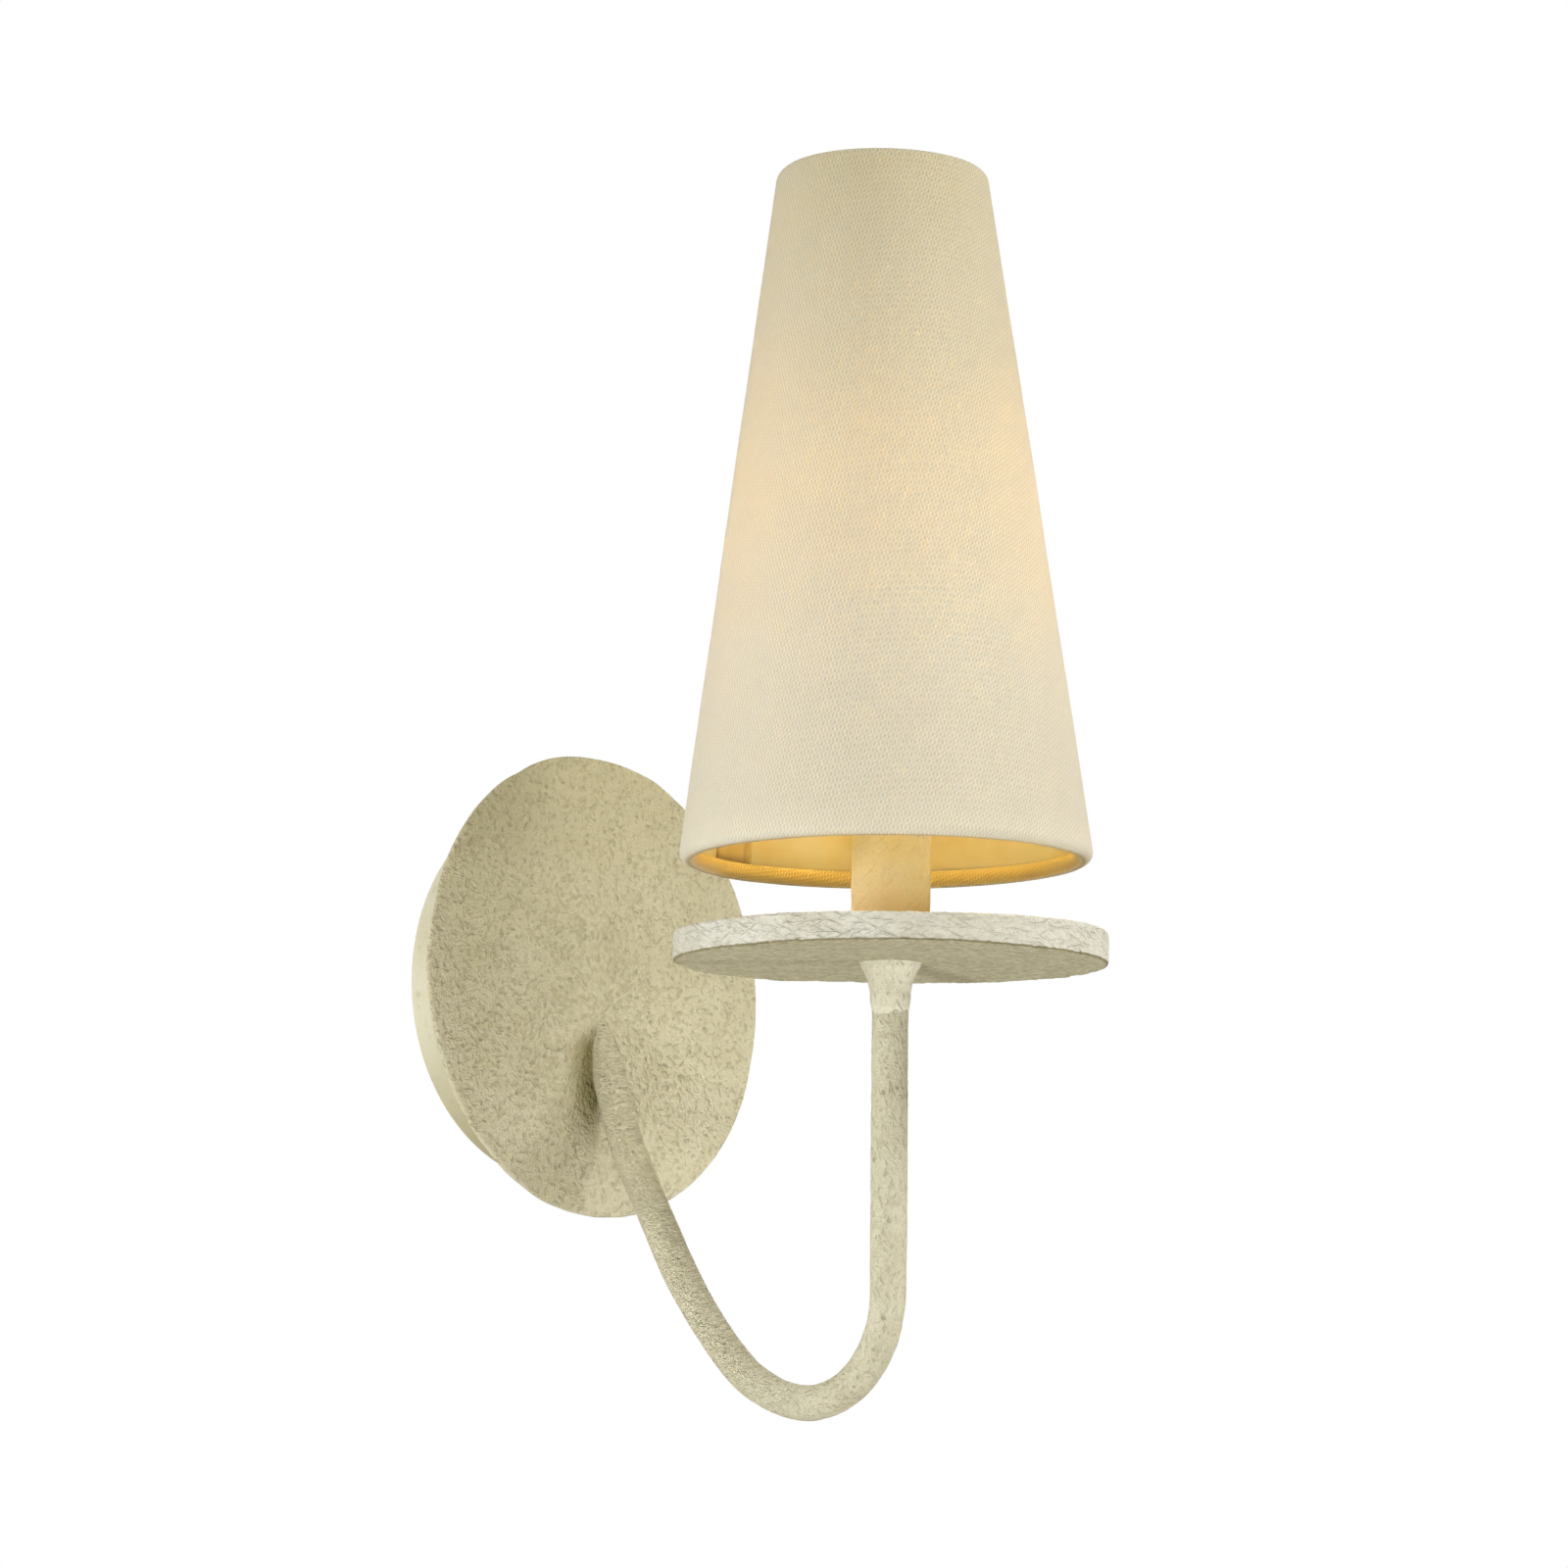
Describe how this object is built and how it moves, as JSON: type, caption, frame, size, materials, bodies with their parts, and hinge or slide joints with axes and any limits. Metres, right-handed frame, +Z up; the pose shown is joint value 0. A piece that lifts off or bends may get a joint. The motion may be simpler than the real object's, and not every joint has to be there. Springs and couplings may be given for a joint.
{
  "type": "iron arm wall sconce",
  "caption": "Gesso-coated iron wall sconce: a hooked arm rises from an oval wall plate to a drip disc, candle cover and a lit bulb under a tall conical clip-on cloth shade.",
  "frame": {"origin": "centre of the wall plate on the wall face", "axes": "+Z up along the sconce, -Y out of the wall towards the room, +X to the right seen from the room"},
  "size_m": [0.1636, 0.243, 0.4343],
  "materials": {
    "pan_gesso": "smooth cream gesso over spun steel",
    "plate_gesso": "pitted, crackled cream-beige gesso over iron",
    "arm_gesso": "fine-grained cream-beige gesso over iron",
    "collar_gesso": "cream gesso",
    "disc_gesso": "brushed pale cream gesso with stroke marks",
    "cover_gesso": "blotchy cream plaster coat",
    "zinc_steel": "zinc plated",
    "threaded_steel": "plain plated steel",
    "painted_screws": "painted to match the pan",
    "earth_green": "green passivated",
    "earth_copper": "bare copper",
    "bushing_nylon": "moulded",
    "socket_phenolic": "moulded phenolic",
    "rivet_brass": "plain",
    "shell_brass": "rolled",
    "lead_black": "wire insulation",
    "lead_white": "wire insulation",
    "connector_plastic": "moulded",
    "bulb_glass": "clear, lit",
    "base_black_glass": "black glass insulator",
    "base_solder": "solder",
    "stem_glass": "clear",
    "support_wire": "drawn wire",
    "filament_wire": "glowing",
    "shade_linen": "off-white twill linen",
    "shade_styrene": "off-white translucent backing",
    "seam_tape": "off-white strip",
    "ring_steel": "white coated wire",
    "clip_steel": "spring wire"
  },
  "bodies": {
    "root": {"canopy_pan": "pan_gesso", "front_plate": "plate_gesso", "mounting_bar": "zinc_steel", "side_screws": "painted_screws", "earth_screw": "earth_green", "earth_stud": "zinc_steel", "earth_nut": "zinc_steel", "earth_lead": "earth_copper", "lead_bushing": "bushing_nylon", "arm_tube": "arm_gesso", "post_collar": "collar_gesso", "drip_disc": "disc_gesso", "post_nipple": "threaded_steel", "lock_washer": "zinc_steel", "lock_nut": "zinc_steel", "socket_bracket": "threaded_steel", "socket_body": "socket_phenolic", "socket_rivets": "rivet_brass", "socket_shell": "shell_brass", "centre_contact": "rivet_brass", "candle_cover": "cover_gesso", "live_lead": "lead_black", "neutral_lead": "lead_white", "lead_connectors": "connector_plastic"},
    "bulb": {"bulb_glass": "bulb_glass", "bulb_base": "shell_brass", "base_insulator": "base_black_glass", "base_tip": "base_solder", "bulb_stem": "stem_glass", "filament_supports": "support_wire", "bulb_filament": "filament_wire"},
    "shade": {"shade_cloth": "shade_linen", "shade_liner": "shade_styrene", "seam_strip": "seam_tape", "shade_foot_ring": "ring_steel", "shade_top_ring": "ring_steel", "bulb_clip": "clip_steel"}
  },
  "joints": [
    {"name": "bulb_unscrew", "type": "hinge", "parent": "root", "child": "bulb", "pos_m": [0, -0.16903, 0.11], "axis": [0, 0, 1], "range_deg": [0, 1800]},
    {"name": "shade_lift", "type": "slide", "parent": "bulb", "child": "shade", "axis": [0, 0, 1], "range_m": [0, 0.17]}
  ]
}
